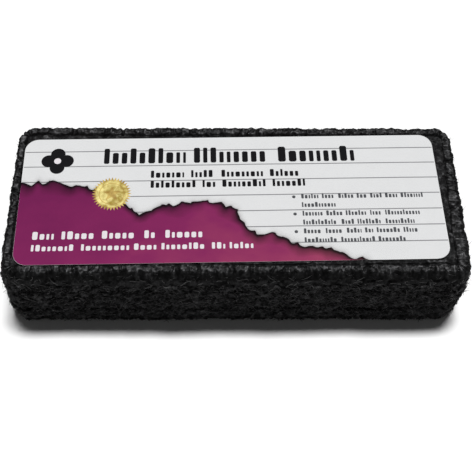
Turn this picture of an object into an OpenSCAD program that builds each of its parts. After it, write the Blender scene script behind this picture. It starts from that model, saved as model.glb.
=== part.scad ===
// Felt block eraser for a dry-erase board, laminated from die-cut felt layers.
// Frame: origin at the centre of the wiping face, +X along the length,
// +Y across the width, +Z up from the wiping face to the label.

/* [Block] */
// Length of the felt block, end to end
block_length = 127; // [100:0.5:160]
// Width of the felt block, front to back
block_width = 50.8; // [45:0.1:70]
// Height of the felt block, wiping face to top of the rolled rim
block_height = 25.4; // [20:0.1:40]
// Plan radius of the block's four corners
corner_radius = 4.6; // [4:0.1:9]

/* [Felt layers] */
// Number of die-cut felt layers below the cover, the wiping layer included
layer_count = 6; // [4:1:9]
// How far the loosest layer's edge steps back from the block's outline
edge_step = 0.3; // [0:0.05:0.6]
// Thickness of the glue film between two layers
glue_thickness = 0.1; // [0.05:0.05:0.3]
// How far the glue film stops short of the felt's edge
glue_inset = 3; // [1:0.5:6]

/* [Cover] */
// Thickness of the felt cover at its rim
cover_thickness = 4.1; // [3.2:0.1:5]
// How far the cover's long sides stand back from the felt layers below
cover_setback = 0.6; // [0:0.1:1]
// Radius of the cover's rolled shoulder
shoulder_radius = 2.2; // [1:0.1:2.2]
// How far the panel inside the rim lies below the top of the rim
panel_drop = 0.35; // [0.2:0.05:0.8]
// Width of the rim at both ends, from the block's end to the crease
rim_end = 2.8; // [2.7:0.1:2.8]
// Width of the rim at the front, from the block's side to the crease
rim_front = 4.1; // [3.8:0.1:4.2]
// Width of the rim at the back, from the block's side to the crease
rim_back = 3.1; // [3:0.1:3.2]
// Radius of the crease's round bottom
crease_radius = 0.5; // [0.3:0.05:0.5]
// Plan radius of the panel's four corners
panel_corner_radius = 2.6; // [1:0.1:3]

/* [Label] */
// Length of the label
label_length = 117.8; // [90:0.1:118]
// Width of the label
label_width = 41.4; // [30:0.1:42]
// Corner radius of the label
label_corner_radius = 3.8; // [1:0.1:8]
// Offset of the label's centre along X
label_shift_x = -1.4; // [-1.4:0.1:1.4]
// Offset of the label's centre along Y
label_shift_y = 0.5; // [0.4:0.1:0.6]
// Turn of the label in plan, anticlockwise from above, in degrees
label_turn = 1; // [-1:0.1:1]
// Thickness of the label's adhesive
adhesive_thickness = 0.05; // [0.05:0.01:0.15]
// Thickness of the label's printed paper
paper_thickness = 0.1; // [0.05:0.01:0.2]
// Thickness of the label's clear top film
film_thickness = 0.05; // [0.05:0.01:0.15]

/* [Hidden] */
$fn = 64;
// Height of the stack of felt layers and glue films under the cover
stack_height = block_height - cover_thickness;
// Thickness of one felt layer
layer_thickness = stack_height / layer_count - glue_thickness;
// Height from the bottom of one layer to the bottom of the next
layer_pitch = layer_thickness + glue_thickness;
// Height of the cover's panel, which carries the label
panel_height = block_height - panel_drop;
// Width of the cover, front to back
cover_width = block_width - 2 * cover_setback;
// Length of the panel inside the rim
panel_length = block_length - 2 * rim_end;
// Width of the panel inside the rim
panel_width = block_width - rim_front - rim_back;
// Offset of the panel's centre along Y
panel_shift_y = (rim_front - rim_back) / 2;
// Overshoot of a cut past the face that it leaves through
cut_margin = 1;
// How far the cover's flat core runs into its rim
core_overlap = 0.5;
// Angle between the edge steps of neighbouring layers, so that no two match
step_angle = 137.5;
// Number of even steps between no step back and the full edge_step
step_choices = 3;

felt_colour = [0.055, 0.056, 0.06];
cover_colour = [0.075, 0.076, 0.08];
glue_colour = [0.82, 0.78, 0.62];
paper_colour = [0.93, 0.93, 0.95];
film_colour = [0.9, 0.92, 0.95, 0.4];

upper_layer_names = [for (i = [2:layer_count]) str("felt_layer_", i)];
glue_names = [for (i = [1:layer_count]) str("glue_film_", i)];
label_names = ["label_adhesive", "label_paper", "label_clear_film"];

// Flat slab with round corners in plan, from z = 0 up.
module rounded_slab(length, width, thickness, radius) {
    linear_extrude(height = thickness) {
        square([length - 2 * radius, width], center = true);
        square([length, width - 2 * radius], center = true);
        for (x = [-1, 1], y = [-1, 1])
            translate([x * (length / 2 - radius), y * (width / 2 - radius)])
                circle(r = radius);
    }
}

// Carries the 2D section in its children round the edge of a rectangle with
// round corners. The section's x runs outwards from the centres of the corners,
// and its y runs up.
module around_the_edge(length, width, radius) {
    straight_x = length - 2 * radius;
    straight_y = width - 2 * radius;
    for (quarter = [0:3]) {
        rotate(quarter * 90) {
            side_run = quarter % 2 == 0 ? straight_y : straight_x;
            side_out = quarter % 2 == 0 ? straight_x / 2 : straight_y / 2;
            translate([side_out, side_run / 2, 0])
                rotate([90, 0, 0])
                    linear_extrude(height = side_run)
                        children();
            translate([side_out, side_run / 2, 0])
                rotate_extrude(angle = 90)
                    children();
        }
    }
}

// Depth by which one layer's edge stands back from the block's outline,
// from none to edge_step in even steps.
function step_back(index) =
    edge_step * round(step_choices * (1 + sin(index * step_angle)) / 2) / step_choices;

// One felt layer, counted from 1 at the wiping face.
module felt_layer(index) {
    inset = step_back(index);
    color(felt_colour)
        translate([0, 0, (index - 1) * layer_pitch])
            rounded_slab(
                block_length - 2 * inset,
                block_width - 2 * inset,
                layer_thickness,
                corner_radius - inset
            );
}

// The bottom felt layer, which rubs on the board.
module wiping_layer() {
    felt_layer(1);
}

// Glue film on top of the felt layer that has the same index.
module glue_film(index) {
    color(glue_colour)
        translate([0, 0, index * layer_pitch - glue_thickness])
            rounded_slab(
                block_length - 2 * glue_inset,
                block_width - 2 * glue_inset,
                glue_thickness,
                corner_radius - glue_inset / 2
            );
}

// Section of the cover's rim: a strip with a rolled shoulder at its top corner.
module rim_section() {
    intersection() {
        square([corner_radius, cover_thickness]);
        union() {
            square([corner_radius, cover_thickness - shoulder_radius]);
            square([corner_radius - shoulder_radius, cover_thickness]);
            translate([corner_radius - shoulder_radius, cover_thickness - shoulder_radius])
                circle(r = shoulder_radius);
        }
    }
}

// Section of the round crease that parts the rim from the panel.
module crease_section() {
    translate([panel_corner_radius, cover_thickness - panel_drop])
        circle(r = crease_radius);
}

// The sunk panel inside the rim, with the crease round it, as a solid to cut away.
module panel_recess() {
    translate([0, panel_shift_y, 0]) {
        translate([0, 0, cover_thickness - panel_drop])
            rounded_slab(
                panel_length,
                panel_width,
                panel_drop + cut_margin,
                panel_corner_radius
            );
        around_the_edge(panel_length, panel_width, panel_corner_radius) crease_section();
    }
}

// The felt cover: rolled rim, crease, and the sunk panel that carries the label.
module top_cover() {
    core_length = block_length - 2 * corner_radius + 2 * core_overlap;
    core_width = cover_width - 2 * corner_radius + 2 * core_overlap;
    color(cover_colour)
        translate([0, 0, stack_height])
            difference() {
                union() {
                    around_the_edge(block_length, cover_width, corner_radius) rim_section();
                    translate([-core_length / 2, -core_width / 2, 0])
                        cube([core_length, core_width, cover_thickness]);
                }
                panel_recess();
            }
}

// One ply of the label, its underside at the given height over the panel.
module label_ply(height_over_panel, thickness) {
    translate([label_shift_x, label_shift_y, panel_height + height_over_panel])
        rotate(label_turn)
            rounded_slab(label_length, label_width, thickness, label_corner_radius);
}

// Pressure-sensitive adhesive under the label.
module label_adhesive() {
    color(glue_colour) label_ply(0, adhesive_thickness);
}

// Printed paper of the label.
module label_paper() {
    color(paper_colour) label_ply(adhesive_thickness, paper_thickness);
}

// Glossy clear film over the print.
module label_clear_film() {
    color(film_colour) label_ply(adhesive_thickness + paper_thickness, film_thickness);
}

wiping_layer();
for (i = [2:layer_count])
    felt_layer(i);
for (i = [1:layer_count])
    glue_film(i);
top_cover();
label_adhesive();
label_paper();
label_clear_film();
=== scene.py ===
"""Looks of a felt block eraser for a dry-erase board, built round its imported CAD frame."""

import math
import random

import bpy
import numpy as np
from mathutils import Matrix, Vector, noise
from mathutils.geometry import delaunay_2d_cdt


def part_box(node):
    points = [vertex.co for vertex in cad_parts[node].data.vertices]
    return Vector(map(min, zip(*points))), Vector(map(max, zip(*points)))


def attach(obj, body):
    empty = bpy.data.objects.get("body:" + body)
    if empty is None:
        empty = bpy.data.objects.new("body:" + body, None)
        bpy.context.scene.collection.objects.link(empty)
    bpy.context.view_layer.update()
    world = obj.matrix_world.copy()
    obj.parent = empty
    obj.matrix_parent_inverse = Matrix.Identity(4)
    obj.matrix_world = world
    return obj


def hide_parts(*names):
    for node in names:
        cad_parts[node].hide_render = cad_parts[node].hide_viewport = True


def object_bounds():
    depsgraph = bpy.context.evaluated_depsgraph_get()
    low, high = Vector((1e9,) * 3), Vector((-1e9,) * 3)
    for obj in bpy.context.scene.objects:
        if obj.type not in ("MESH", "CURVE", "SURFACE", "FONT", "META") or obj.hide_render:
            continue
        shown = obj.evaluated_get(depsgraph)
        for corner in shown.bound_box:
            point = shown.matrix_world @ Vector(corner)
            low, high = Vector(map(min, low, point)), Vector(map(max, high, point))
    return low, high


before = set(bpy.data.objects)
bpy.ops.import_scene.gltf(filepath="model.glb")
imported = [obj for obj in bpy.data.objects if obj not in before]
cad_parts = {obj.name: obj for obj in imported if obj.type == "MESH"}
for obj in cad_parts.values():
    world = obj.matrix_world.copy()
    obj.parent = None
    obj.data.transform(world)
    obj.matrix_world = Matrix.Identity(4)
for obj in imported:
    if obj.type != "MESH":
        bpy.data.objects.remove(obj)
cad_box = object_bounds()

MM = 0.001
ROOT = "root"
rng = random.Random(5)

# ------------------------------------------------------------------ the block
HALF_X, HALF_Y = cad_box[1][0], cad_box[1][1]
COVER_BOTTOM, COVER_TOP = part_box("top_cover")[0][2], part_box("top_cover")[1][2]
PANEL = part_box("label_adhesive")[0][2]  # height of the cover's panel under the label
CORNER = 4.6 * MM  # plan radius of the block's corners
STEP = 0.19 * MM  # spacing of mesh points round the block's edge
PANEL_RELIEF_SHADE = 0.2  # relief of the felt inside the rim, for its painted shade: from 0 in its cracks to 1 on its strands
LAYERS = ["wiping_layer"] + [f"felt_layer_{i}" for i in range(2, 7)]
GLUES = [f"glue_film_{i}" for i in range(1, 7)]
LABEL_X, LABEL_Y = 117.8, 41.4  # the label's size, in mm like all of its layout
LABEL_CORNER = 3.8
LABEL_PLACE = Matrix.Translation((-1.4 * MM, 0.5 * MM, 0)) @ Matrix.Rotation(
    math.radians(1), 4, "Z"
)


def edge_ring():
    """The block's plan outline, anticlockwise: points, outward normals, distance run."""
    flat_x, flat_y = HALF_X - CORNER, HALF_Y - CORNER
    arc_points = round(math.pi / 2 * CORNER / STEP)
    points, normals = [], []
    centres = [(flat_x, flat_y), (-flat_x, flat_y), (-flat_x, -flat_y), (flat_x, -flat_y)]
    for quarter, centre in enumerate(centres):
        for i in range(arc_points):
            angle = math.pi / 2 * (quarter + i / arc_points)
            normal = np.array([math.cos(angle), math.sin(angle)])
            points.append(np.array(centre) + CORNER * normal)
            normals.append(normal)
        angle = math.pi / 2 * (quarter + 1)
        normal = np.array([math.cos(angle), math.sin(angle)])
        start = np.array(centre) + CORNER * normal
        end = np.array(centres[(quarter + 1) % 4]) + CORNER * normal
        run = np.linalg.norm(end - start)
        count = round(run / STEP)
        for i in range(count):
            points.append(start + (end - start) * i / count)
            normals.append(normal)
    points, normals = np.array(points), np.array(normals)
    steps = np.linalg.norm(np.roll(points, -1, axis=0) - points, axis=1)
    run = np.concatenate([[0], np.cumsum(steps)[:-1]])
    return points, normals, run, steps.sum()


RING, NORMALS, RUN, ROUND_TRIP = edge_ring()
# Where each point of the ring lies: 0 to 1, and 1 is
ENDS = np.abs(NORMALS[:, 0])  # along both ends
RIGHT = np.clip(NORMALS[:, 0], 0, 1) ** 2  # along the right end
FRONT = np.clip(-NORMALS[:, 1], 0, 1) ** 2  # along the front
BACK = np.clip(NORMALS[:, 1], 0, 1) ** 2  # along the back
TURNS = 4 * (NORMALS[:, 0] * NORMALS[:, 1]) ** 2  # in the middle of each corner


def wave(points, grain, seed):
    """Smooth noise, about -0.7 to 0.7, at each point. grain is its size on each axis, and
    each seed gives a noise of its own."""
    shifted = points / np.asarray(grain, float) + seed * np.array([17.3, 5.1, 9.7])
    flat = shifted.reshape(-1, 3)
    return np.array([noise.noise(Vector(p)) for p in flat]).reshape(points.shape[:-1])


def at(inset, height):
    """Points round the block at these insets from its outline and these heights."""
    inset = np.broadcast_to(inset, len(RING))
    height = np.broadcast_to(height, len(RING))
    return np.column_stack([RING - NORMALS * inset[:, None], height])


def fill(verts, ring, spacing, height, upward):
    """Closes the ring of vertex numbers with triangles. Points a spacing apart lie inside
    it, short of its edge and its corners, each at its height(x, y)."""
    outline = np.array([verts[i] for i in ring])
    margin = spacing * 0.6
    half_x, half_y = outline[:, 0].max() - margin, outline[:, 1].max() - margin
    inner = []
    for x in np.arange(-half_x, half_x + 1e-9, spacing):
        for y in np.arange(-half_y, half_y + 1e-9, spacing):
            past_corner = min(abs(x) - half_x + margin, abs(y) - half_y + margin)
            if past_corner < 0:
                inner.append((x, y))
    flat = [Vector((p[0] / MM, p[1] / MM)) for p in outline]
    flat += [Vector((x / MM, y / MM)) for x, y in inner]
    found, _, faces, origins, _, _ = delaunay_2d_cdt(flat, [], [list(range(len(ring)))], 1, 1e-6)
    numbers = []
    for point, origin in zip(found, origins):
        if origin and origin[0] < len(ring):
            numbers.append(ring[origin[0]])
        else:
            x, y = point.x * MM, point.y * MM
            numbers.append(len(verts))
            verts.append((x, y, height(x, y)))
    turned = [tuple(numbers[i] for i in f) for f in faces]
    return turned if upward else [f[::-1] for f in turned]


def ring_solid(name, rows, relief_shade, low_cap, high_cap):
    """A closed solid from rows of points round the block, from its underside outwards and
    up to its top. The third argument is how far the felt stands out at each point, 0 to 1,
    which its material turns into painted shade where the felt stands out least. Each cap
    is (spacing, height function)."""
    count = len(RING)
    verts = [tuple(p) for row in rows for p in row]
    faces = []
    for k in range(len(rows) - 1):
        low, high = k * count, (k + 1) * count
        for i in range(count):
            j = (i + 1) % count
            faces.append((low + i, low + j, high + j, high + i))
    top = (len(rows) - 1) * count
    faces += fill(verts, list(range(count)), *low_cap, upward=False)
    faces += fill(verts, list(range(top, top + count)), *high_cap, upward=True)
    made = mesh_object(name, verts, faces)
    values = np.full(len(verts), PANEL_RELIEF_SHADE)
    values[:count * len(rows)] = np.concatenate(relief_shade)
    made.data.attributes.new("relief_shade", "FLOAT", "POINT").data.foreach_set("value", values)
    return made


def mesh_object(name, verts, faces):
    """A smooth-shaded mesh object in the scene."""
    mesh = bpy.data.meshes.new(name)
    mesh.from_pydata([tuple(v) for v in verts], [], faces)
    mesh.validate()
    mesh.shade_smooth()
    made = bpy.data.objects.new(name, mesh)
    bpy.context.scene.collection.objects.link(made)
    return made


# ------------------------------------------------------------------ materials
def node_material(name):
    """A new material with its node tree, its Principled shader and Object coordinates."""
    material = bpy.data.materials.new(name)
    material.use_nodes = True
    tree = material.node_tree
    shader = tree.nodes["Principled BSDF"]
    coordinates = tree.nodes.new("ShaderNodeTexCoord").outputs["Object"]
    return material, tree, shader, coordinates


def stretched(tree, vector, scale):
    """Coordinates scaled on each axis."""
    node = tree.nodes.new("ShaderNodeMapping")
    node.inputs["Scale"].default_value = scale
    tree.links.new(vector, node.inputs["Vector"])
    return node.outputs["Vector"]


def noise_texture(tree, vector, per_metre, detail=3.0, rough=0.6, distortion=0.0):
    """Noise of so many grains a metre, from 0 to 1."""
    node = tree.nodes.new("ShaderNodeTexNoise")
    node.inputs["Scale"].default_value = per_metre
    node.inputs["Detail"].default_value = detail
    node.inputs["Roughness"].default_value = rough
    node.inputs["Distortion"].default_value = distortion
    tree.links.new(vector, node.inputs["Vector"])
    return node.outputs["Fac"]


def ramp(tree, value, stops):
    """Colour by value, from (place, (r, g, b)) stops."""
    node = tree.nodes.new("ShaderNodeValToRGB")
    elements = node.color_ramp.elements
    while len(elements) < len(stops):
        elements.new(0.5)
    for element, (place, colour) in zip(elements, stops):
        element.position = place
        element.color = (*colour, 1)
    tree.links.new(value, node.inputs["Fac"])
    return node.outputs["Color"]


def spread(tree, value, low, high):
    """The value from 0.25..0.75 spread over low..high."""
    node = tree.nodes.new("ShaderNodeMapRange")
    node.inputs["From Min"].default_value = 0.25
    node.inputs["From Max"].default_value = 0.75
    node.inputs["To Min"].default_value = low
    node.inputs["To Max"].default_value = high
    tree.links.new(value, node.inputs["Value"])
    return node.outputs["Result"]


def bumped(tree, shader, height, depth, strength=1.0, under=None):
    """Bump of this depth in metres on the shader, over another bump if there is one."""
    node = tree.nodes.new("ShaderNodeBump")
    node.inputs["Strength"].default_value = strength
    node.inputs["Distance"].default_value = depth
    tree.links.new(height, node.inputs["Height"])
    if under is not None:
        tree.links.new(under, node.inputs["Normal"])
    tree.links.new(node.outputs["Normal"], shader.inputs["Normal"])
    return node.outputs["Normal"]


def grey(level):
    """A neutral, faintly cool grey."""
    return (level, level, level * 1.03)


def scaled(tree, colour, value):
    """The colour times a value."""
    node = tree.nodes.new("ShaderNodeVectorMath")
    node.operation = "SCALE"
    tree.links.new(colour, node.inputs["Vector"])
    tree.links.new(value, node.inputs["Scale"])
    return node.outputs["Vector"]


def painted_top_light(tree, most, low, high):
    """Painted top light, a factor on the colour: 1 on slopes that face up less than low,
    most above high, as painted light on surfaces that face up to the lights overhead.
    """
    up = tree.nodes.new("ShaderNodeSeparateXYZ")
    normal = tree.nodes.new("ShaderNodeTexCoord").outputs["Normal"]
    tree.links.new(normal, up.inputs["Vector"])
    node = tree.nodes.new("ShaderNodeMapRange")
    node.interpolation_type = "SMOOTHSTEP"
    node.inputs["From Min"].default_value = low
    node.inputs["From Max"].default_value = high
    node.inputs["To Min"].default_value = 1.0
    node.inputs["To Max"].default_value = most
    tree.links.new(up.outputs["Z"], node.inputs["Value"])
    return node.outputs["Result"]


TONE_STOPS = (0.5, 0.61, 0.72, 0.83, 0.94)  # where felt_material's tones lie on its ramp


def felt_material(name, tones, stretch, bump_depth, upward_light):
    """Black felt with painted shade in its cracks: matted fibres, drawn out by stretch on
    each axis, and a painted highlight where it faces up. tones are its greys from the
    cracks to the strands' backs, and the last argument is (most, low, high) for the
    painted top light."""
    material, tree, shader, place = node_material(name)
    fibres = stretched(tree, place, stretch)
    matted = noise_texture(tree, fibres, 1400, detail=5, rough=0.75, distortion=1.0)
    # Painted shade: the attribute read here makes the felt darker in its cracks, where it stands out
    # least.
    relief_shade = tree.nodes.new("ShaderNodeAttribute")
    relief_shade.attribute_name = "relief_shade"
    mixed = tree.nodes.new("ShaderNodeMath")
    mixed.operation = "MULTIPLY_ADD"
    mixed.inputs[1].default_value = 0.4
    tree.links.new(relief_shade.outputs["Fac"], mixed.inputs[0])
    tree.links.new(matted, mixed.inputs[2])
    stops = [(stop, grey(tone)) for stop, tone in zip(TONE_STOPS, tones)]
    colour = ramp(tree, mixed.outputs[0], stops)
    tree.links.new(scaled(tree, colour, painted_top_light(tree, *upward_light)), shader.inputs["Base Color"])
    tree.links.new(spread(tree, matted, 0.95, 0.8), shader.inputs["Roughness"])
    shader.inputs["Specular IOR Level"].default_value = 0.03
    shader.inputs["Sheen Weight"].default_value = 0.02
    shader.inputs["Sheen Roughness"].default_value = 0.6
    clumps = noise_texture(tree, fibres, 500, detail=4, distortion=0.8)
    hairs = noise_texture(tree, fibres, 1800, detail=3, rough=0.7)
    coarse = bumped(tree, shader, clumps, bump_depth)
    bumped(tree, shader, hairs, bump_depth * 0.4, under=coarse)
    return material


def print_material(name, colour, mottle=0.06):
    """Ink or bare stock of the label: a little uneven, faintly pebbled, glossy."""
    material, tree, shader, place = node_material(name)
    uneven = noise_texture(tree, place, 260, detail=3)
    low = tuple(c * (1 - mottle) for c in colour)
    high = tuple(min(1, c * (1 + mottle)) for c in colour)
    tree.links.new(ramp(tree, uneven, [(0.3, low), (0.7, high)]), shader.inputs["Base Color"])
    tree.links.new(spread(tree, uneven, 0.45, 0.6), shader.inputs["Roughness"])
    shader.inputs["Specular IOR Level"].default_value = 0.015
    shader.inputs["Coat Weight"].default_value = 0.25
    shader.inputs["Coat Roughness"].default_value = 0.06
    bumped(tree, shader, noise_texture(tree, place, 700, detail=2), 0.01 * MM, 0.4)
    return material


def edge_ramp(tree, stops):
    """Colour by the distance from the print's ragged edge."""
    node = tree.nodes.new("ShaderNodeAttribute")
    node.attribute_name = "edge_shade"
    return ramp(tree, node.outputs["Fac"], stops)


def multiplied(tree, first, second):
    """One colour times the other."""
    node = tree.nodes.new("ShaderNodeVectorMath")
    node.operation = "MULTIPLY"
    tree.links.new(first, node.inputs[0])
    tree.links.new(second, node.inputs[1])
    return node.outputs["Vector"]


def field_material():
    """The coloured field: cloudy purple, redder to the right and the front, burnt dark
    along its edge."""
    material = print_material("label_field", (0.17, 0.02, 0.085))
    tree = material.node_tree
    shader = tree.nodes["Principled BSDF"]
    place = tree.nodes.new("ShaderNodeTexCoord").outputs["Object"]
    clouds = noise_texture(tree, stretched(tree, place, (1, 1.4, 1)), 75, detail=3)
    lean = tree.nodes.new("ShaderNodeVectorMath")
    lean.operation = "DOT_PRODUCT"
    lean.inputs[1].default_value = (5.0, -9.0, 0)
    tree.links.new(place, lean.inputs[0])
    total = tree.nodes.new("ShaderNodeMath")
    total.operation = "MULTIPLY_ADD"
    total.inputs[1].default_value = 0.5
    tree.links.new(clouds, total.inputs[0])
    tree.links.new(lean.outputs["Value"], total.inputs[2])
    purple = ramp(tree, total.outputs[0], [(0.0, (0.165, 0.012, 0.081)),
                                           (0.26, (0.215, 0.017, 0.098)),
                                           (0.66, (0.33, 0.048, 0.115))])
    burnt = edge_ramp(tree, [(0.0, (0.02, 0.06, 0.02)), (0.14, (0.06, 0.14, 0.07)),
                             (0.28, (0.34, 0.46, 0.34)), (0.65, (0.76, 0.82, 0.74)),
                             (1.0, (1, 1, 1))])
    tree.links.new(multiplied(tree, purple, burnt), shader.inputs["Base Color"])
    return material


def stock_material():
    """The label's bare white stock, softly shaded beside the coloured field's edge."""
    material = print_material("label_stock", (0.715, 0.72, 0.725), 0.012)
    tree = material.node_tree
    shader = tree.nodes["Principled BSDF"]
    bare = shader.inputs["Base Color"].links[0].from_socket
    shade = edge_ramp(tree, [(0.0, (0.62, 0.60, 0.60)), (0.18, (0.9, 0.9, 0.9)), (0.5, (1, 1, 1))])
    tree.links.new(multiplied(tree, bare, shade), shader.inputs["Base Color"])
    return material


def seal_material(name, low, high):
    """Embossed gold foil: blotchy and a little crinkled."""
    material, tree, shader, place = node_material(name)
    blotches = noise_texture(tree, place, 380, detail=3, distortion=0.8)
    tree.links.new(ramp(tree, blotches, [(0.35, low), (0.65, high)]), shader.inputs["Base Color"])
    tree.links.new(spread(tree, blotches, 0.25, 0.45), shader.inputs["Roughness"])
    bumped(tree, shader, blotches, 0.03 * MM)
    return material


def glue_material(name, colour):
    """Dried contact adhesive: dull skin with small ripples."""
    material, tree, shader, place = node_material(name)
    uneven = noise_texture(tree, place, 300, detail=4)
    low = tuple(c * 0.75 for c in colour)
    tree.links.new(ramp(tree, uneven, [(0.3, low), (0.7, colour)]), shader.inputs["Base Color"])
    tree.links.new(spread(tree, uneven, 0.45, 0.7), shader.inputs["Roughness"])
    bumped(tree, shader, uneven, 0.05 * MM)
    return material


def film_material(name):
    """The clear glossy film: almost nothing of its own but its shine."""
    material, tree, shader, place = node_material(name)
    shader.inputs["Base Color"].default_value = (0.03, 0.03, 0.032, 1)
    shader.inputs["Alpha"].default_value = 0.04
    ripple = noise_texture(tree, place, 120, detail=2)
    tree.links.new(spread(tree, ripple, 0.06, 0.12), shader.inputs["Roughness"])
    bumped(tree, shader, ripple, 0.03 * MM, 0.5)
    return material


UPRIGHT = (1.2, 1.2, 0.6)  # stretch of fibres that stand up and down
# The last tuple of each felt is its painted top light. The cover's greys are very dark, so this painted
# highlight alone brightens the crest of its rim. The wiping face gets none.
FELT_EDGE = felt_material("felt_edge", (0.0015, 0.0055, 0.014, 0.031, 0.06), UPRIGHT,
                          0.3 * MM, (1.2, 0.3, 0.9))
FELT_COVER = felt_material("felt_cover", (0.001, 0.0025, 0.005, 0.01, 0.022), (1, 1, 1),
                           0.16 * MM, (6.3, 0.9, 0.998))
FELT_FACE = felt_material("felt_face", (0.003, 0.009, 0.018, 0.033, 0.06), UPRIGHT,
                          0.25 * MM, (1.0, 0.5, 0.9))
GLUE = glue_material("contact_glue", (0.12, 0.11, 0.09))
ADHESIVE = glue_material("label_adhesive", (0.7, 0.68, 0.6))
FILM = film_material("label_film")
INKS = {
    "stock": stock_material(),
    "rule": print_material("label_rule", (0.24, 0.24, 0.25)),
    "field": field_material(),
    "seal_rim": seal_material("label_seal_rim", (0.34, 0.20, 0.02), (0.62, 0.44, 0.08)),
    "seal": seal_material("label_seal", (0.36, 0.25, 0.02), (0.88, 0.76, 0.26)),
    "ink": print_material("label_ink", (0.006, 0.006, 0.007)),
    "paint": print_material("label_paint", (0.76, 0.72, 0.75), 0.02),
    "grey_ink": print_material("label_grey_ink", (0.075, 0.078, 0.085)),
}


def use(piece, *materials):
    """Gives the piece these materials, in slot order."""
    if piece.data.materials:
        piece.data.materials.clear()
    for material in materials:
        piece.data.materials.append(material)


# ------------------------------------------------------------------ felt layers
ROWS = 20  # rows of faces up the cut edge of one layer
HIDDEN = 3.4 * MM  # inset past which a layer is as flat as the CAD has it
LIE_GAP = 0.02 * MM  # half the gap between two layers at their edges
FINE_CAP, FLAT_CAP = 0.9 * MM, 12 * MM  # spacing of points on a dimpled face and a flat one
STEP_SHOWN = 0.6  # how much of a CAD layer's step back its felt shows
STRAND_RELIEF, FIN_RELIEF = 0.75, 0.5  # how far strands and fins stand out, in mm
FIN_PLACE, FIN_WIDTH = 0.85, 0.15  # of the fin under a layer's top edge, in layer heights
FLARE = 0.2 * MM  # how far the lower layers spread out at the two ends
FLARE_TOP, FLARE_FOOT = 14 * MM, 5 * MM  # they spread less and less outside these heights
TUCK = 0.5 * MM  # how far the corners draw in, above the flare and next to the floor
layer_points = []  # (point, outward normal) on the layers' finished sides, for the strands
side_points = []  # the same on all of the sides, for the loose fibres
rim_points = []  # the same on top of the cover's rim


def every(step, row, first):
    """Every so many points of a row round the block, from this one on, with their normals."""
    return [(row[i], NORMALS[i]) for i in range(first, len(RING), step)]


def seam_height(level):
    """Mean height of the joint above the layer with this number; 0 is the floor."""
    if level == 0:
        return 0.0
    low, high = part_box(GLUES[level - 1])
    return (low[2] + high[2]) / 2


def seam(level):
    """Height of one joint round the edge: it wanders, as die-cut felt does."""
    flat = at(0, seam_height(level))
    if level == 0:
        return np.abs(wave(flat, 6 * MM, 31)) * 0.12 * MM
    long_wave = wave(flat, 14 * MM, 3 + level) * 0.8 * MM
    short_wave = wave(flat, 2.8 * MM, 13 + level) * 0.4 * MM
    if level == len(GLUES):
        return seam_height(level) + (long_wave + short_wave) * 0.35
    return seam_height(level) + long_wave + short_wave


SEAMS = [seam(level) for level in range(len(GLUES) + 1)]


def strands(points):
    """How far the matted strands stand out at each point of the sides, 0 to 1: short
    upright strands that lean, curl and cross each other, with cracks between them."""
    sway = wave(points, 2 * MM, 5) * MM
    up = points[:, 2]
    backs = np.zeros(len(points))
    for seed, lean in ((6, 0.45), (7, -0.5)):
        shifted = points + (sway + lean * up)[:, None] * np.array([1, 1, 0])
        line = np.abs(wave(shifted, (1.7 * MM, 1.7 * MM, 3.2 * MM), seed))
        backs = np.maximum(backs, np.clip(1 - line / 0.2, 0, 1) ** 0.7)
    shifted = points + 0.6 * sway[:, None]
    line = np.abs(wave(shifted, (3.2 * MM, 3.2 * MM, 1.6 * MM), 8))
    cracks = np.clip(1 - line / 0.11, 0, 1)
    billow = wave(points, (1.8 * MM, 1.8 * MM, 2 * MM), 9)
    return np.clip(0.33 + 0.5 * backs + 0.5 * billow - 0.75 * cracks, 0, 1)


def lie_back(base, index, t):
    """How far a cut edge draws back at t up its layer: most near both faces, and more at
    the two ends, where the layers are looser."""
    mouth = np.clip(wave(base, 3.6 * MM, 40 + index + round(t)), 0, 1)
    most = (0.08 + 0.35 * mouth) * (1 + 1.2 * ENDS) * MM
    if index == 0 and t < 0.5:
        most = 0.15 * MM
    return most * abs(2 * t - 1) ** 4


def flare(height):
    """How far the block spreads out at these heights, at its two ends."""
    spread_out = np.minimum((FLARE_TOP - height) / FLARE_FOOT, height / FLARE_FOOT + 0.2)
    return FLARE * ENDS ** 0.5 * np.clip(spread_out, 0, 1)


def tuck(height):
    """How far the block draws in at these heights, at its corners."""
    tucked = np.maximum((height - 14 * MM) / (6 * MM), 1 - height / (5 * MM))
    return np.clip(tucked, 0, 1) * TURNS * TUCK


def cut_edge(index):
    """Rows of points up the cut edge of a layer, and their relief shade for the felt's
    colour, with painted shade in the cracks between strands.
    """
    low, high = SEAMS[index] + LIE_GAP, SEAMS[index + 1] - LIE_GAP
    if index == 0:
        low = SEAMS[0]
    outline = at(0, seam_height(index))
    step_back = (HALF_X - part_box(LAYERS[index])[1][0]) * STEP_SHOWN
    drift = wave(outline, 12 * MM, 50 + index) * 0.45 * MM
    pressed_and_gap_shade = 0.08 + 0.3 * np.clip(wave(outline, 8 * MM, 60 + index) + 0.3, 0, 1)
    rows, relief_shade = [], []
    for k in range(ROWS + 1):
        t = (1 - math.cos(math.pi * k / ROWS)) / 2
        height = low + (high - low) * t
        base = at(0, height)
        standing = strands(base)
        nap = wave(base, (0.55 * MM, 0.55 * MM, 0.8 * MM), 10) * 0.36 * MM
        fin = ENDS * math.exp(-(((t - FIN_PLACE) / FIN_WIDTH) ** 2))
        inset = step_back + lie_back(base, index, t) + drift - nap - flare(height) + tuck(height)
        inset -= ((standing - 0.3) * STRAND_RELIEF + fin * FIN_RELIEF - ENDS * 0.12) * MM
        rows.append(at(inset, height))
        # Darker towards each joint, more at the layer's lower one: partly denser felt at the glue,
        # partly painted shade in the gap between layers.
        joint_darkening = pressed_and_gap_shade * abs(2 * t - 1) ** 3 * (1 if t < 0.5 else 0.3)
        # The fins are painted lighter: a painted highlight on the upper edges of the layers at the two
        # ends.
        relief_shade.append(np.clip(standing - joint_darkening + fin * 0.4, 0, 1))
    return rows, relief_shade


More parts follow.
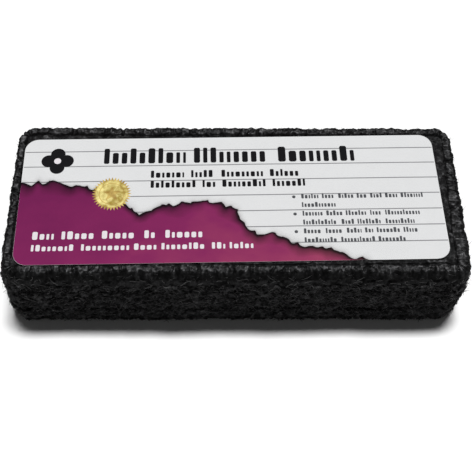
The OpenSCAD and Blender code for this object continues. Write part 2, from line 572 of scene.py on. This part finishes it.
def felt_layer(index):
    """One felt layer, its cut edge wavy and matted, in place of its CAD slab."""
    box_low, box_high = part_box(LAYERS[index])
    rows, relief_shade = cut_edge(index)
    for k in range(2, ROWS, 2):
        layer_points.extend(every(9, rows[k], k % 5))
    turned_in_low = (rows[0] + at(2 * MM, rows[0][:, 2])) / 2
    turned_in_high = (rows[-1] + at(2 * MM, rows[-1][:, 2])) / 2
    rows = [at(HIDDEN, box_low[2]), turned_in_low] + rows
    rows += [turned_in_high, at(HIDDEN, box_high[2])]
    plain = [np.full(len(RING), PANEL_RELIEF_SHADE)] * 2
    relief_shade = plain + relief_shade + plain
    if index == 0:
        under_cap = (FINE_CAP, under_height)
        rows[1][:, 2] = np.abs(wave(rows[1], 2 * MM, 33)) * 0.2 * MM
        rows[0][:, 2] = [under_height(x, y) for x, y, _ in rows[0]]
    else:
        under_cap = (FLAT_CAP, lambda x, y: box_low[2])
    top_cap = (FLAT_CAP, lambda x, y: box_high[2])
    layer = ring_solid(LAYERS[index] + "_felt", rows, relief_shade, under_cap, top_cap)
    use(layer, FELT_FACE if index == 0 else FELT_EDGE)
    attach(layer, ROOT)
    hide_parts(LAYERS[index])


def under_height(x, y):
    """Height of the wiping face over the floor: shallow dimples in the nap."""
    place = Vector((x, y, 0))
    fine = abs(noise.noise(place / (2.5 * MM))) * 0.22
    return (fine + abs(noise.noise(place / (9 * MM))) * 0.2) * MM


for layer_number in range(len(LAYERS)):
    felt_layer(layer_number)
side_points.extend(layer_points)

for glue_name in GLUES:
    use(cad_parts[glue_name], GLUE)

# ------------------------------------------------------------------ cover
ROLL_HEIGHT = 2.1 * MM  # from the top of the wall under the rolled rim up to its crest
CREASE_DEPTH = 0.6 * MM  # from the rim's crest down to the crease
# Rows of the wall's lip: (inset, rise) in mm, lean in degrees
LIP = ((0.25, 0.0, -60), (0.05, 0.15, -20), (0.0, 0.35, 10))
# Rows of the wall's foot: part of the way from the lip to the wall, rise in mm
FOOT = ((0.1, 0.6), (0.4, 1.0), (0.75, 1.4), (1.0, 1.75))
# Rows from the crease to the panel: inset in mm, part of the rise
GROOVE = ((0.12, 0.35), (0.25, 0.8), (0.45, 0.95), (0.8, 1.0))
PANEL_EDGE = 6.2 * MM  # inset of the section's last row, on the panel
LABEL_BED = PANEL - 0.12 * MM  # height of the felt that the label presses flat
# Rows of the section, counted from its underside
ROLL_ROW, ROLL_MIDDLE_ROW, CREST_ROW, CREASE_ROW = 7, 13, 17, 23


def puckers():
    """Short creases across the rim: (distance run, depth, half width, slant, reach)."""
    made, run = [], 0.0
    while run < ROUND_TRIP - 2 * MM:
        run += rng.uniform(2.0, 5.5) * MM
        made.append((run, rng.uniform(0.1, 0.4) * MM, rng.uniform(0.25, 0.7) * MM,
                     rng.uniform(-0.9, 0.9), rng.uniform(0.3, 0.7)))
    return made


PUCKERS = puckers()


def pucker_depth(inset, along):
    """Depth of the puckers in the row that is so far along the rim's section."""
    depth = np.zeros(len(RING))
    for run, deep, half_width, slant, reach in PUCKERS:
        away = RUN - run - slant * (inset - 1.5 * MM)
        away = (away + ROUND_TRIP / 2) % ROUND_TRIP - ROUND_TRIP / 2
        fade = math.exp(-(((along - 0.6) / reach) ** 2))
        depth += deep * fade * np.exp(-((away / half_width) ** 2))
    return depth


def cover_section():
    """The rim's section, from its underside to the panel: (inset, height, lean) rows. lean
    is where the surface faces: 0 outwards, 90 degrees up."""
    drift = wave(at(0, 0), 9 * MM, 70) * 0.25 * MM
    nearness = np.clip(0.6 - RING[:, 1] / (25 * MM), 0, 1)
    wider = RIGHT * (0.3 + 1.1 * nearness)  # the right end's rim widens towards the front
    setback = (0.2 + 0.6 * FRONT - 0.3 * BACK + 0.35 * TURNS) * MM + drift
    crest = (1.6 + 1.5 * FRONT + 0.4 * BACK + 0.6 * wider) * MM + drift
    crease = (3.1 + 1.4 * FRONT + 0.4 * BACK + wider) * MM
    crease += wave(at(0, 0), 6 * MM, 71) * 0.4 * MM
    lip = (0.1 + 0.3 * (1 - FRONT) + 0.3 * TURNS) * MM + drift * 0.5
    step = np.maximum(setback - lip, 0)
    bottom = SEAMS[-1] + LIE_GAP
    rows = [(lip + inset * MM, bottom + rise * MM, angle) for inset, rise, angle in LIP]
    for t, rise in FOOT:
        rows.append((lip + step * t, bottom + rise * MM, 35))
    middle = COVER_TOP - ROLL_HEIGHT
    for angle in range(0, 91, 9):
        turn = math.radians(angle)
        inset = setback + (crest - setback) * (1 - math.cos(turn))
        rows.append((inset, middle + ROLL_HEIGHT * math.sin(turn), angle))
    deep = CREASE_DEPTH * (1 - 0.25 * ENDS)
    for t in (0.2, 0.4, 0.6, 0.8, 0.9, 1.0):
        rows.append((crest + (crease - crest) * t, COVER_TOP - deep * t ** (4 + 5 * ENDS), 90))
    crease_height = COVER_TOP - deep
    for inset, rise in GROOVE:
        rows.append((crease + inset * MM, crease_height + (PANEL - crease_height) * rise, 90))
    inner = rows[-1][0]
    for t in (0.35, 0.7, 1.0):
        rows.append((inner + (PANEL_EDGE - inner) * t, np.full(len(RING), PANEL), 90))
    return rows


def under_label(x, y):
    """Whether a point lies under the label or just outside its edge."""
    local = LABEL_PLACE.inverted() @ Vector((x, y, 0)) / MM
    margin = 0.2
    past_x = max(abs(local.x) - LABEL_X / 2 + LABEL_CORNER, 0)
    past_y = max(abs(local.y) - LABEL_Y / 2 + LABEL_CORNER, 0)
    return math.hypot(past_x, past_y) < LABEL_CORNER + margin


def panel_height(x, y):
    """Height of the felt of the panel, which the label presses flat."""
    if under_label(x, y):
        return LABEL_BED
    place = Vector((x, y, 0))
    return PANEL + noise.noise(place / (1.9 * MM)) * 0.2 * MM


def cover_relief(k, along, inset, base, lean, streaks):
    """How far row k of the cover stands proud, in mm, and its relief shade, with painted
    shade where it faces outwards and in its puckers.
    """
    lumps = wave(base, 1.7 * MM, 73)
    nap = wave(base, 0.7 * MM, 74)
    if k >= CREASE_ROW:
        return lumps * 0.25 + nap * 0.15, PANEL_RELIEF_SHADE + 0.6 * lumps + 0.5 * nap
    swell = wave(base, 5 * MM, 72) * 0.25
    pucker = pucker_depth(inset, along) / MM
    lumpy = 0.3 if k < ROLL_MIDDLE_ROW else 0.2
    proud = swell + lumps * lumpy + nap * 0.22 + streaks * 0.12 - pucker
    if k < ROLL_ROW:
        return proud, 1.0 + lumps + 0.8 * nap
    # Painted shade: darker where the rim faces outwards rather than up, and darker in the puckers.
    relief_shade = 0.55 - 0.1 * math.cos(lean) + 0.5 * lumps + 0.5 * nap + 0.3 * streaks - 0.6 * pucker
    return proud, relief_shade


def note_cover_points(k, row):
    """Keeps some points of row k of the cover as roots for strands and fibres."""
    if 0 < k < ROLL_ROW:
        layer_points.extend(every(9, row, k % 4))
    if ROLL_ROW < k < ROLL_MIDDLE_ROW:
        side_points.extend(every(12, row, k % 4))
    if abs(k - CREST_ROW) < 3:
        rim_points.extend(every(12, row, k % 4))


def top_cover():
    """The felt cover: a puffy rolled rim, puckered across, and the crease inside it."""
    section = cover_section()
    streaks = wave(at(0, 0), 0.55 * MM, 75) + wave(at(0, 0), 1.5 * MM, 76)
    rows = [at(HIDDEN, COVER_BOTTOM), at(2.2 * MM, SEAMS[-1] + LIE_GAP)]
    relief_shade = [np.full(len(RING), PANEL_RELIEF_SHADE)] * 2
    for k, (inset, height, angle) in enumerate(section):
        lean = math.radians(angle)
        along = k / (len(section) - 1)
        proud, stands = cover_relief(k, along, inset, at(inset, height), lean, streaks)
        row = at(inset - proud * MM * math.cos(lean), height + proud * MM * math.sin(lean))
        if k >= CREST_ROW:
            for place in row:
                if under_label(place[0], place[1]):
                    place[2] = min(place[2], LABEL_BED)
        rows.append(row)
        relief_shade.append(np.clip(stands, 0, 1))
        note_cover_points(k, row)
    rows[2][:, 2] = np.maximum(rows[2][:, 2], SEAMS[-1] + LIE_GAP)
    under_cap = (FLAT_CAP, lambda x, y: COVER_BOTTOM)
    cover = ring_solid("top_cover_felt", rows, relief_shade, under_cap, (FINE_CAP, panel_height))
    use(cover, FELT_COVER)
    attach(cover, ROOT)
    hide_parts("top_cover")


top_cover()

# ------------------------------------------------------------------ label
SLOTS = ["stock", "rule", "field", "seal_rim", "seal", "ink", "paint", "grey_ink"]
RULE_TOP, RULE_PITCH = 16.2, 5.2  # places of the thin ruled lines
RULE_REACH, RULE_HALF = 58.7, 0.16  # their half length and half thickness
SEAL_X, SEAL_Y = -33.4, 1.6
MARK_X, MARK_Y = -49.3, 13.0
LIST_PITCH = 2.83  # between the lines of the small list at the right
CURVE_STEPS = 8  # steps round each of the label's corners
print_rng = random.Random(11)


def rounded(x0, y0, x1, y1, radius, steps=4):
    """Outline of a rectangle with round corners, anticlockwise."""
    points = []
    corners = ((x1 - radius, y1 - radius), (x0 + radius, y1 - radius),
               (x0 + radius, y0 + radius), (x1 - radius, y0 + radius))
    for quarter, (x, y) in enumerate(corners):
        for i in range(steps + 1):
            angle = math.pi / 2 * (quarter + i / steps)
            points.append((x + radius * math.cos(angle), y + radius * math.sin(angle)))
    return points


def label_outline():
    """Outline of the whole label."""
    half_x, half_y = LABEL_X / 2, LABEL_Y / 2
    return rounded(-half_x, -half_y, half_x, half_y, LABEL_CORNER, CURVE_STEPS)


def starburst(x, y, inner, outer, rays):
    """Outline of a star or a seal with pointed rays."""
    points = []
    for i in range(2 * rays):
        radius = outer if i % 2 == 0 else inner
        angle = math.pi * (i / rays + 0.5)
        points.append((x + radius * math.cos(angle), y + radius * math.sin(angle)))
    return points


def disc(x, y, radius, rays):
    """Outline of a disc with two points for each ray."""
    return starburst(x, y, radius, radius, rays)


def blocks(x, y, widths, x_height, pitch, gap):
    """A line of plain blocks where words would be, from x on, standing on the line y. One
    block in five or so is tall, and so is each word's first."""
    made = []
    for width in widths:
        left, end, first = x, x + width, True
        while left < end - pitch * 0.3:
            wide = min(pitch * print_rng.uniform(0.4, 0.85), end - left)
            tall = x_height * (1.4 if first or print_rng.random() < 0.22 else 1.0)
            made.append(rounded(left, y, left + wide, y + tall, min(wide, tall) * 0.2, 1))
            left += wide + pitch * 0.34
            first = False
        x = end + gap
    return made


def ragged_edge():
    """The ragged upper edge of the coloured field, left to right."""
    turns = [(-58.9, 5.8), (-51, 6.2), (-44, 4.4), (-37, 3.4), (-29, -1.8), (-25.5, -5.6),
             (-19, -2.4), (-11, -1.2), (-4.5, -1.4), (1.5, -4.0), (2.6, -7.8), (7.5, -12.8),
             (11.5, -11.6), (16, -14.8), (24, -16.6), (31, -18.4), (36.5, -20.7)]
    spacing = 0.5
    points = []
    for (x0, y0), (x1, y1) in zip(turns, turns[1:]):
        count = max(2, round(math.hypot(x1 - x0, y1 - y0) / spacing))
        for i in range(count):
            t = i / count
            x, y = x0 + (x1 - x0) * t, y0 + (y1 - y0) * t
            ragged = noise.noise(Vector((x / 0.8, y / 0.8, 2.0))) * 0.18
            ragged += 0.5 - abs(noise.noise(Vector((x / 3.4, y / 3.4, 8.0)))) * 2.4
            sideways = noise.noise(Vector((x / 1.6, y / 1.6, 5.0))) * 0.8
            ease = max(0, min(1, (x - turns[0][0]) / 2, (turns[-1][0] - x) / 3))
            points.append((x + sideways * ease, y + ragged * ease))
    points.append(turns[-1])
    return points


RAGGED = ragged_edge()


def field():
    """Outline of the coloured field: the ragged edge and the label's lower left corner,
    short of which it leaves a hair of bare stock."""
    bare = 0.03
    left, low = bare - LABEL_X / 2, bare - LABEL_Y / 2
    outline = rounded(left, low, left + 20, low + 20, LABEL_CORNER, CURVE_STEPS)
    lower_left = 2 * (CURVE_STEPS + 1)
    return RAGGED[::-1] + outline[lower_left:lower_left + CURVE_STEPS + 1]


def beside_edge():
    """Points beside the ragged edge, so that its shading has somewhere to change."""
    points = []
    for (x0, y0), (x1, y1) in zip(RAGGED[::2], RAGGED[2::2]):
        run = math.hypot(x1 - x0, y1 - y0)
        for away in (-0.5, 0.35, 0.8, 1.4, 2.2):
            x, y = x0 + (y1 - y0) / run * away, y0 - (x1 - x0) / run * away
            if abs(x) < LABEL_X / 2 - 1 and abs(y) < LABEL_Y / 2 - 1:
                points.append(Vector((x, y)))
    return points


def edge_shade(x, y):
    """Distance from the ragged edge over the width of its shading there."""
    starts, ends = np.array(RAGGED[:-1]), np.array(RAGGED[1:])
    along = ends - starts
    t = ((x - starts[:, 0]) * along[:, 0] + (y - starts[:, 1]) * along[:, 1]) / (along ** 2).sum(axis=1)
    nearest = starts + along * np.clip(t, 0, 1)[:, None]
    away = np.hypot(nearest[:, 0] - x, nearest[:, 1] - y).min()
    width = 3.2 + 2.4 * noise.noise(Vector((x / 4, y / 4, 6.0)))
    return float(away / width)


def ruled_line(y):
    """Outline of one thin line right across the label, with points all along it."""
    run = np.linspace(-RULE_REACH, RULE_REACH, round(2 * RULE_REACH) + 1)
    return [(x, y - RULE_HALF) for x in run] + [(x, y + RULE_HALF) for x in run[::-1]]


def seal():
    """The foil seal: a toothed rim, rings and a star."""
    made = [("seal_rim", starburst(SEAL_X, SEAL_Y, 4.55, 5.55, 36))]
    for radius, name in ((4.45, "seal"), (3.6, "seal_rim"), (3.35, "seal")):
        made.append((name, disc(SEAL_X, SEAL_Y, radius, 24)))
    made.append(("seal_rim", starburst(SEAL_X, SEAL_Y, 1.1, 2.7, 5)))
    return made


def mark():
    """The mark: four dark discs round a pale one."""
    made = []
    for x, y in ((0, 1), (0, -1), (1, 0), (-1, 0)):
        made.append(("ink", disc(MARK_X + 2.5 * x, MARK_Y + 2.3 * y, 2.1, 16)))
    made.append(("paint", disc(MARK_X, MARK_Y, 1.0, 12)))
    return made


def words():
    """Blocks in the place of words: the title and its two lines, the two lines on the
    field, and the small list with its three bullets."""
    # Ink, left end, foot, widths of the words, x-height, letter pitch, gap between words
    lines = [("ink", -36.1, 11.8, (23.4, 21.9, 22.0), 3.8, 2.6, 2.3),
             ("ink", -22.6, 6.8, (9.4, 6.6, 11.8, 8.6), 1.75, 1.5, 2.0),
             ("ink", -22.6, 3.4, (12.6, 3.6, 12.2, 9.2), 1.75, 1.5, 2.0),
             ("paint", -54.2, -12.9, (5.8, 8.8, 9.4, 3.6, 10.8), 1.75, 1.75, 2.1),
             ("paint", -54.2, -16.5, (12.2, 13.0, 6.2, 12.4, 3.6, 6.4), 1.4, 1.55, 1.2)]
    small = ((4.8, 3.6, 4.2, 2.8, 3.2, 3.4, 6.2), (9.4,), (5.6, 4.4, 5.8, 3.2, 9.6),
             (9.6, 3.4, 6.8, 8.2), (5.0, 4.8, 4.0, 2.2, 6.4, 4.2), (9.0, 9.2, 7.4))
    for k, widths in enumerate(small):
        lines.append(("grey_ink", 19.6, -0.9 - LIST_PITCH * k, widths, 1.15, 0.9, 1.0))
    made = []
    for name, x, y, widths, x_height, pitch, gap in lines:
        for block in blocks(x, y, widths, x_height, pitch, gap):
            made.append((name, block))
    for k in range(3):
        made.append(("grey_ink", disc(17.5, -0.3 - 2 * LIST_PITCH * k, 0.5, 6)))
    return made


def label_layout():
    """The generic print: (material name, outline) from the bottom of the pile up."""
    rules = [("rule", ruled_line(RULE_TOP - RULE_PITCH * k)) for k in range(7)]
    return rules + [("field", field())] + seal() + mark() + words()


def sheet_height(x, y):
    """How far the label stands off its flat place at a point of its layout, in mm: it
    ripples a little over the felt and its edge turns down."""
    ripple = 0.05 + 0.08 * noise.noise(Vector((x / 16, y / 11, 4.0)))
    edge = min(LABEL_X / 2 - abs(x), LABEL_Y / 2 - abs(y))
    wavy_edge = noise.noise(Vector((x / 7, y / 7, 1.0))) * 0.05
    return ripple + (wavy_edge - 0.02) * math.exp(-max(edge, 0) / 1.5)


def sheet_normal(x, y):
    """The way the label's upper side faces at a point of its layout."""
    reach = 0.1
    slope_x = (sheet_height(x + reach, y) - sheet_height(x - reach, y)) / (2 * reach)
    slope_y = (sheet_height(x, y + reach) - sheet_height(x, y - reach)) / (2 * reach)
    return (LABEL_PLACE.to_3x3() @ Vector((-slope_x, -slope_y, 1))).normalized()


def label_grid():
    """Points all over the label, short of its edge and its corners."""
    half_x, half_y, gap = LABEL_X / 2 - 0.3, LABEL_Y / 2 - 0.3, 1.5
    points = []
    for x in np.linspace(-half_x, half_x, round(2 * half_x / gap)):
        for y in np.linspace(-half_y, half_y, round(2 * half_y / gap)):
            if half_x - abs(x) + half_y - abs(y) > LABEL_CORNER:
                points.append(Vector((x, y)))
    return points


def ply(name, low, high, zones=()):
    """One ply of the label as a thin closed solid between two heights in mm, cut along
    the zones' outlines, whose faces take the zones' materials."""
    points, outlines = [], []
    for polygon in [label_outline()] + [outline for _, outline in zones]:
        outlines.append(list(range(len(points), len(points) + len(polygon))))
        points += [Vector(p) for p in polygon]
    points += label_grid()
    if zones:
        points += beside_edge()
    flat, _, triangles, _, _, inside = delaunay_2d_cdt(points, [], outlines, 1, 1e-5)
    verts, count = [], len(flat)
    for level in (high, low):
        for point in flat:
            height = PANEL + (level + sheet_height(point.x, point.y)) * MM
            verts.append(LABEL_PLACE @ Vector((point.x * MM, point.y * MM, height)))
    faces = [tuple(f) for f in triangles] + [tuple(count + i for i in f[::-1]) for f in triangles]
    edges = {(a, b) for f in triangles for a, b in zip(f, list(f[1:]) + [f[0]])}
    faces += [(b, a, count + a, count + b) for a, b in edges if (b, a) not in edges]
    piece = mesh_object(name, verts, faces)
    for face, found in zip(piece.data.polygons, inside):
        if found and max(found) > 0:
            face.material_index = SLOTS.index(zones[max(found) - 1][0])
    normals = [sheet_normal(p.x, p.y) for p in flat]
    piece.data.normals_split_custom_set_from_vertices(normals + [-n for n in normals])
    if zones:
        shade = piece.data.attributes.new("edge_shade", "FLOAT", "POINT")
        shade.data.foreach_set("value", [edge_shade(p.x, p.y) for p in flat] * 2)
    return piece


def label():
    """The label's three plies, in place of their CAD slabs."""
    glue = ply("label_adhesive_ply", 0.0, 0.05)
    use(glue, ADHESIVE)
    paper = ply("label_paper_ply", 0.05, 0.15, label_layout())
    use(paper, *[INKS[name] for name in SLOTS])
    film = ply("label_clear_film_ply", 0.155, 0.2)  # a hair above the paper
    use(film, FILM)
    for piece, node, slot_name in ((glue, "label_adhesive", "label_adhesive"),
                                   (paper, "label_paper", "label_paper"),
                                   (film, "label_clear_film", "label_film")):
        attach(piece, ROOT)
        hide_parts(node)


label()


# ------------------------------------------------------------------ loose fibres
SLANTED = (0.3, 0.5, 0.8)  # a direction that no fibre runs along
LOWEST = 0.12 * MM  # no fibre's path reaches lower


def strand_tube(path, radius, verts, faces):
    """A thin three-sided tube along a path, tapered and closed at both ends."""
    start = len(verts)
    for i, point in enumerate(path):
        along = path[min(i + 1, len(path) - 1)] - path[max(i - 1, 0)]
        along = along / (np.linalg.norm(along) + 1e-12)
        side = np.cross(along, SLANTED)
        side /= np.linalg.norm(side) + 1e-12
        other = np.cross(along, side)
        taper = radius * (1 - 0.6 * i / (len(path) - 1))
        for corner in range(3):
            angle = 2 * math.pi * corner / 3
            verts.append(point + taper * (side * math.cos(angle) + other * math.sin(angle)))
    for i in range(len(path) - 1):
        for corner in range(3):
            a = start + 3 * i + corner
            b = start + 3 * i + (corner + 1) % 3
            faces.append((a, b, b + 3, a + 3))
    faces.append((start + 2, start + 1, start))
    end = start + 3 * (len(path) - 1)
    faces.append((end, end + 1, end + 2))


def curl(root, outward, length, lift, points=5):
    """A short curved path from root, leaning out of the felt by lift."""
    along = np.array([-outward[1], outward[0], 0.0]) * rng.choice((-1, 1))
    away = np.array([outward[0], outward[1], 0.0])
    heading = along * rng.uniform(0.4, 1.0) + away * lift + np.array([0, 0, rng.uniform(-0.9, 1.0)])
    heading /= np.linalg.norm(heading)
    bend = np.array([rng.uniform(-1, 1) for _ in range(3)]) * 0.5
    path, point = [], np.array(root) - away * 0.05 * MM
    for _ in range(points):
        path.append(point)
        point = point + heading * length / (points - 1)
        heading = heading + bend * 0.5
        heading /= np.linalg.norm(heading)
    return path


def fibres(name, roots, count, lengths, radius, lift, material, slot_name):
    """Loose fibres that stand out of the felt, as one piece. lengths are the shortest and
    the longest, in mm, and lift is how steeply they stand out."""
    verts, faces = [], []
    for _ in range(count):
        root, outward = rng.choice(roots)
        path = curl(root, outward, rng.uniform(*lengths) * MM, lift * rng.uniform(0.3, 1.2))
        for point in path:
            point[2] = max(point[2], LOWEST)
        strand_tube(path, radius * rng.uniform(0.7, 1.2), verts, faces)
    piece = mesh_object(name, verts, faces)
    use(piece, material)
    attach(piece, ROOT)


def fibre_material(name, dark, light):
    """Single fibres: each a slightly different grey."""
    material, tree, shader, place = node_material(name)
    tone = noise_texture(tree, place, 500, detail=2)
    greys = ramp(tree, tone, [(0.35, grey(dark)), (0.65, grey(light))])
    tree.links.new(greys, shader.inputs["Base Color"])
    tree.links.new(spread(tree, tone, 0.5, 0.8), shader.inputs["Roughness"])
    shader.inputs["Sheen Weight"].default_value = 0.2
    bumped(tree, shader, tone, 0.01 * MM)
    return material


DARK_FIBRE = fibre_material("fibre", 0.01, 0.055)
PALE_FIBRE = fibre_material("lint", 0.08, 0.4)
STRAND = fibre_material("matted_strand", 0.008, 0.034)
fibres("matted_strands", layer_points, 3500, (1.2, 3.2), 0.085 * MM, 0.12, STRAND, "felt")
fibres("loose_fibres", side_points, 3600, (0.6, 2.1), 0.03 * MM, 0.45, DARK_FIBRE, "felt")
fibres("rim_fibres", rim_points, 500, (0.5, 1.6), 0.025 * MM, 0.1, DARK_FIBRE, "cover_felt")
fibres("lint", side_points, 60, (0.4, 1.6), 0.05 * MM, 0.15, PALE_FIBRE, "felt")
fibres("rim_lint", rim_points, 60, (0.3, 1.2), 0.05 * MM, 0.05, PALE_FIBRE, "cover_felt")


# ------------------------------------------------------------------ studio
SUN_STRENGTH, SUN_ANGLE = 3.85, 9.5  # of all the lights together; of each, in degrees
SUN_TILTS = (-0.04, 0.06, 0.16)  # how far each light leans to the right
SUN_BEHIND = 0.22  # how far they all lean to the back
ROOM_LIGHT = 0.055  # strength of the room's even light on the object


def floor():
    """A plain pale floor."""
    size = 3.0
    verts = [(-size, -size, 0), (size, -size, 0), (size, size, 0), (-size, size, 0)]
    made = mesh_object("floor", verts, [(0, 1, 2, 3)])
    material, tree, shader, place = node_material("floor")
    tone = noise_texture(tree, place, 30, detail=2)
    tree.links.new(ramp(tree, tone, [(0.3, (0.88, 0.88, 0.88)), (0.7, (0.9, 0.9, 0.9))]),
                   shader.inputs["Base Color"])
    shader.inputs["Roughness"].default_value = 0.9
    shader.inputs["Specular IOR Level"].default_value = 0.1
    use(made, material)


def studio():
    """A row of three soft lights overhead, a little behind and to the right, in a dim
    even room that shows white behind the floor."""
    for number, tilt in enumerate(SUN_TILTS):
        sun = bpy.data.lights.new(f"key_{number}", "SUN")
        sun.energy = SUN_STRENGTH / len(SUN_TILTS)
        sun.angle = math.radians(SUN_ANGLE)
        key = bpy.data.objects.new(f"key_{number}", sun)
        key.rotation_euler = Vector((tilt, SUN_BEHIND, 1)).to_track_quat("Z", "Y").to_euler()
        bpy.context.scene.collection.objects.link(key)
    world = bpy.data.worlds.new("room")
    world.use_nodes = True
    tree = world.node_tree
    background = tree.nodes["Background"]
    background.inputs["Color"].default_value = (1, 1, 1, 1)
    ray = tree.nodes.new("ShaderNodeLightPath")
    level = tree.nodes.new("ShaderNodeMapRange")
    level.inputs["To Min"].default_value = ROOM_LIGHT
    level.inputs["To Max"].default_value = 1.0
    tree.links.new(ray.outputs["Is Camera Ray"], level.inputs["Value"])
    tree.links.new(level.outputs["Result"], background.inputs["Strength"])
    bpy.context.scene.world = world
    bpy.context.scene.view_settings.view_transform = "Standard"


def camera():
    """Looks down on the block from the front."""
    elevation, turn, roll = math.radians(59.63), math.radians(-2.07), math.radians(1.76)
    distance, aim = 254.65 * MM, Vector((0.24 * MM, 0, 4.46 * MM))
    back = Vector((math.sin(turn) * math.cos(elevation), -math.cos(turn) * math.cos(elevation),
                   math.sin(elevation)))
    right = (-back).cross(Vector((0, 0, 1))).normalized()
    up = right.cross(-back)
    right, up = (right * math.cos(roll) + up * math.sin(roll),
                 -right * math.sin(roll) + up * math.cos(roll))
    facing = Matrix((right, up, back)).transposed().to_4x4()
    data = bpy.data.cameras.new("camera")
    data.sensor_width = 36
    data.lens = 64.65
    data.clip_start = 0.01
    made = bpy.data.objects.new("camera", data)
    made.matrix_world = Matrix.Translation(aim + back * distance) @ facing
    bpy.context.scene.collection.objects.link(made)
    bpy.context.scene.camera = made


floor()
studio()
camera()
